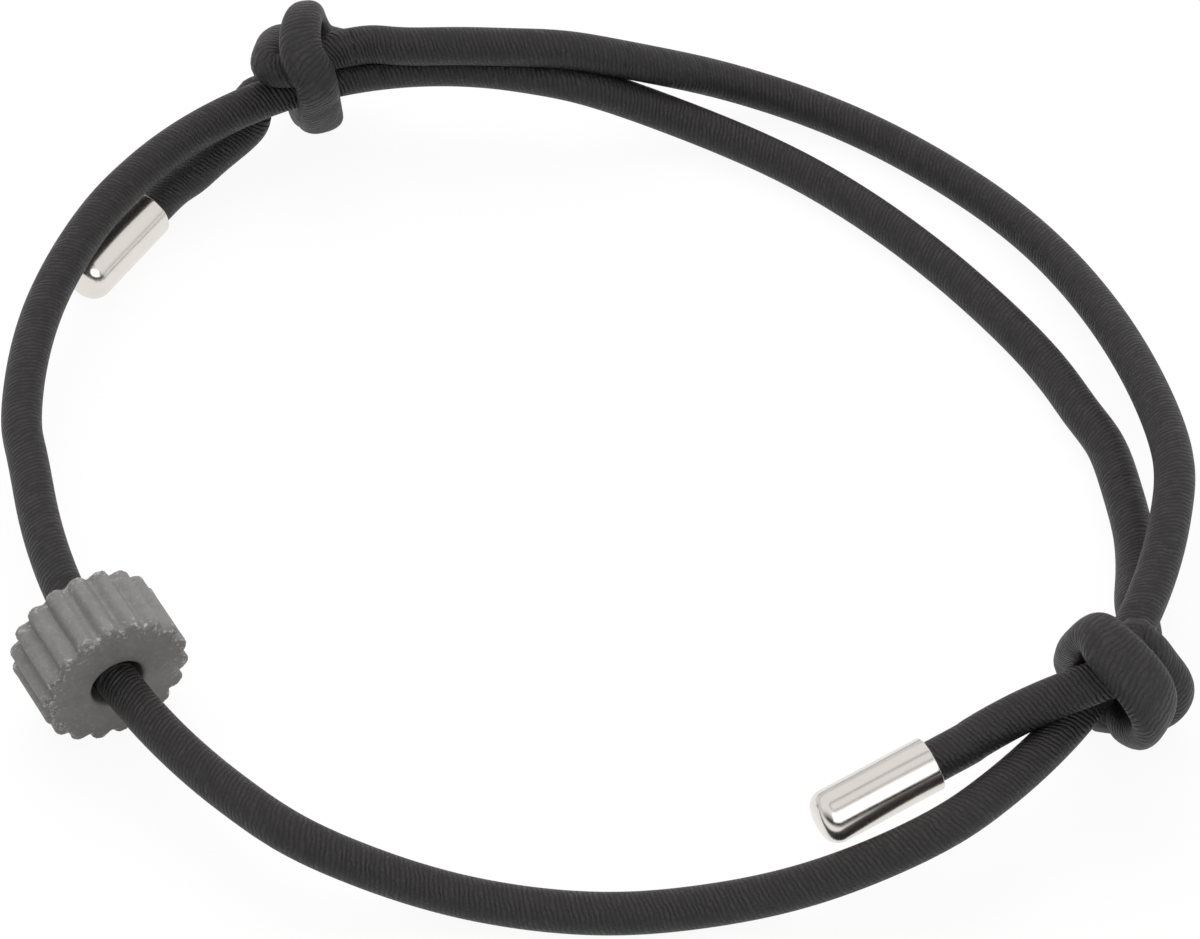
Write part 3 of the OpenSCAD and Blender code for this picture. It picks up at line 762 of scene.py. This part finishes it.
thread = Finish("black_thread", Specular_IOR_Level=0.45)
uv = thread.add("ShaderNodeUVMap", {"uv_map": "cord"})
parts = thread.add("ShaderNodeSeparateXYZ", None, {0: uv.outputs[0]})
along, round_ = thread.number(parts.outputs[0]), thread.number(parts.outputs[1])
wander = thread.noise(0.9, 3, 0.6) - 0.5
ribs = along / RIB + round_ * STARTS + wander * RIB_WANDER
rib = ribs.floor()
across_rib = (ribs - rib) * 2 - 1
stitches = round_ * STITCHES + rib * BRICK_SHIFT + wander * STITCH_WANDER
stitch = stitches.floor()
across_stitch = (stitches - stitch) * 2 - 1
crown = (1 - across_rib * across_rib).clamped()
ends = 1 - (across_stitch * across_stitch) ** 2.0
cell = thread.add("ShaderNodeCombineXYZ", None, {0: rib, 1: stitch})
chance = thread.number(thread.add("ShaderNodeTexWhiteNoise", {"noise_dimensions": "2D"},
                                  {"Vector": cell.outputs[0]}).outputs["Value"])
height = crown * (ends * 0.3 + 0.7)

# %% Cord finish: shades
fuzz = thread.noise(0.07, 3, 0.7)
patches = thread.noise(0.7, 3, 0.6).between(0.35, 0.65)
strength = patches * 0.5 + 0.5
# Rib crowns painted lighter and the gaps between ribs painted darker (painted highlight and painted shade),
# with random tone from fuzz and chance on top.
painted_light_and_tone = (height * strength * 0.5 + fuzz * 0.4 + chance * 0.25 - 0.15).clamped()
# The darker colour is the painted shade in the gaps between ribs, the lighter one the painted highlight on
# their crowns.
painted_shade_gap_colour = thread.mix(patches, (0.0052, 0.0045, 0.0046), (0.0094, 0.0081, 0.0082))
painted_highlight_crown_colour = thread.mix(fuzz, (0.0188, 0.0163, 0.0166), (0.0376, 0.0326, 0.0332))
thread.set(Base_Color=thread.mix(painted_light_and_tone, painted_shade_gap_colour, painted_highlight_crown_colour), Roughness=0.58 - chance * crown * 0.14)
thread.bump(height * strength * (chance * 0.5 + 0.75) + fuzz * 0.4, 0.09, 0.9)
thread.on(loop_cord, knot_1_cord, knot_2_cord, lead_1_cord, lead_2_cord, tail_1_cord, tail_2_cord,
          seat_cord)
print("thread finish:", len(thread.tree.nodes), "nodes")

# %% [markdown]
# ## Rubber and glue
# Inside, the strand is natural latex: dull, tan, with a dusting of talc. The dab of glue behind
# each cord end is cloudy amber. Neither shows, but both are finished in case a cap comes off.

# %% Rubber and glue
latex = Finish("natural_latex")
talc = latex.noise(0.5, 3, 0.6)
latex.set(Base_Color=latex.mix(talc, (0.36, 0.28, 0.16), (0.58, 0.5, 0.36)), Roughness=talc * 0.3 + 0.55)
latex.bump(latex.noise(0.15, 3), 0.03, 0.5)
latex.on(loop_core, knot_1_core, knot_2_core, lead_1_core, lead_2_core, tail_1_core, tail_2_core,
         seat_core)

glue = Finish("cured_glue")
cloud = glue.noise(0.7, 3, 0.6)
glue.set(Base_Color=glue.mix(cloud, (0.5, 0.4, 0.2), (0.75, 0.68, 0.45)), Roughness=cloud * 0.3 + 0.25)
glue.bump(glue.noise(0.4, 2), 0.05, 0.4)
glue.on(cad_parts["cap_adhesive_1"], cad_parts["cap_adhesive_2"])

# %% [markdown]
# ## Bright plate
# The caps are nickel plated: bright, a little warm, and slightly soft in what they reflect.
# Handling leaves clouds on them, and small specks that are duller.

# %% Cap finish
nickel = Finish("bright_nickel", Metallic=1.0)
handled = nickel.noise(1.6, 3, 0.6)
specks = nickel.noise(0.12, 3, 0.6).between(0.66, 0.78)
nickel.set(Base_Color=nickel.mix(handled, (0.74, 0.7, 0.655), (0.8, 0.765, 0.725)),
           Roughness=handled * 0.08 + specks * 0.12 + 0.17)
nickel.bump(nickel.noise(0.35, 3), 0.006, 0.2)
nickel.on(*caps)

# %% [markdown]
# ## Moulded plastic
# The bead is dull grey plastic. Its rib ends and end faces are rubbed paler, with bright flecks
# where the skin is broken. Deep inside the bore those flecks are dimmed, as painted shade.

# %% Bead finish
plastic = Finish("grey_plastic")
wear_map = plastic.add("ShaderNodeUVMap", {"uv_map": "wear"})
inset_depth = plastic.add("ShaderNodeSeparateXYZ", None, {0: wear_map.outputs[0]})
inset, depth = plastic.number(inset_depth.outputs[0]), plastic.number(inset_depth.outputs[1])
rim = (1 - inset.between(0.15, 0.9)) * (1 - depth.between(0.1, 0.9))
# Deep in the bore, away from both ends: there the pale flecks are held back as painted shade.
hollow = inset.between(0.1, 0.4) * depth.between(0.05, 0.4)
mottle = plastic.noise(0.9, 4, 0.65)
grain = plastic.noise(0.14, 4, 0.7)
pits = plastic.noise(0.3, 3, 0.7)
flecks = pits.between(0.52, 0.66)
body = plastic.mix((mottle * 0.6 + grain * 0.5).clamped(), (0.1, 0.097, 0.094), (0.245, 0.238, 0.23))
pale = (rim * flecks * 0.75 + flecks * grain * 0.22 - hollow * 0.1).clamped()
plastic.set(Base_Color=plastic.mix(pale, body, (0.5, 0.49, 0.475)), Roughness=0.62 - rim * flecks * 0.25)
plastic.bump(mottle * 0.3 + grain * 0.6 + pits * (rim + 0.3), 0.08, 0.7)
plastic.on(bead)

# %% [markdown]
# ## Bench and light
# A pale bench and soft studio light. The bench looks white to the camera and in reflections,
# yet keeps the soft shadow under the cord. The room is dark in front, low down, which gives the
# cord's near side its shade. Reflections also meet two thin dark seams in the room, and they
# draw the fine lines along the caps.

# %% Bench
BENCH, BENCH_DROP, GLOW_SHARE = 2, 0.00003, 0.93

corners = [(x * BENCH, y * BENCH, -BENCH_DROP) for x, y in ((-1, -1), (1, -1), (1, 1), (-1, 1))]
bench_mesh = bpy.data.meshes.new("bench")
bench_mesh.from_pydata(corners, [], [(0, 1, 2, 3)])
bench = bpy.data.objects.new("bench", bench_mesh)
bpy.context.collection.objects.link(bench)
paper = Finish("white_bench", Roughness=0.9)
paper.set(Base_Color=(0.9, 0.9, 0.9, 1))
path = paper.add("ShaderNodeLightPath")
seen = (paper.number(path.outputs["Is Camera Ray"]) + paper.number(path.outputs["Is Glossy Ray"])
        + paper.number(path.outputs["Is Transmission Ray"])).clamped()
glow = paper.add("ShaderNodeEmission", None, {"Color": (1, 1, 1, 1), "Strength": 1.0})
blend_in = paper.add("ShaderNodeMixShader", None,
                     {0: seen * GLOW_SHARE, 1: paper.surface.outputs[0], 2: glow.outputs[0]})
paper.tree.links.new(blend_in.outputs[0], paper.tree.nodes["Material Output"].inputs["Surface"])
paper.on(bench)

# %% Lights
scene = bpy.context.scene
scene.view_settings.view_transform = "Standard"
world = bpy.data.worlds.new("studio")
scene.world = world
world.use_nodes = True
sky = world.node_tree
outward = add_node(sky, "ShaderNodeTexCoord").outputs["Generated"]
way = add_node(sky, "ShaderNodeSeparateXYZ", None, {0: outward})
depth_way, height = Number(sky, way.outputs[1]), Number(sky, way.outputs[2])
rays = add_node(sky, "ShaderNodeLightPath")
glossy, seen = Number(sky, rays.outputs["Is Glossy Ray"]), Number(sky, rays.outputs["Is Camera Ray"])
seam = height.between(0.18, 0.22) * (1 - height.between(0.25, 0.29))
top_seam = height.between(0.925, 0.94) * (1 - height.between(0.955, 0.97))
front_room = (1 - depth_way.between(-0.75, -0.05)) * (1 - height.between(0.4, 0.8))
room = 0.84 - front_room * 0.74 + glossy * (0.08 - seam * 0.6 - top_seam * 0.7)
level = room * (1 - seen) + seen
sky.links.new(level.socket, sky.nodes["Background"].inputs[1])
sky.nodes["Background"].inputs[0].default_value = (1, 1, 1, 1)


def soft_light(name, at, size, power, shows=True, lights=True):
    """A rectangle of light aimed at the strap; it may be left out of reflections or of shading."""
    data = bpy.data.lights.new(name, "AREA")
    data.shape, data.size, data.size_y, data.energy = "RECTANGLE", size[0], size[1], power
    made = bpy.data.objects.new(name, data)
    made.location = at
    made.rotation_euler = (-Vector(at)).to_track_quat("-Z", "Y").to_euler()
    made.visible_glossy, made.visible_diffuse = shows, lights
    bpy.context.collection.objects.link(made)


soft_light("overhead", (-0.1, 0.35, 0.55), (0.5, 0.5), 3.4, shows=False)
soft_light("front", (0.12, -0.43, 0.36), (0.5, 0.36), 1.1, lights=False)
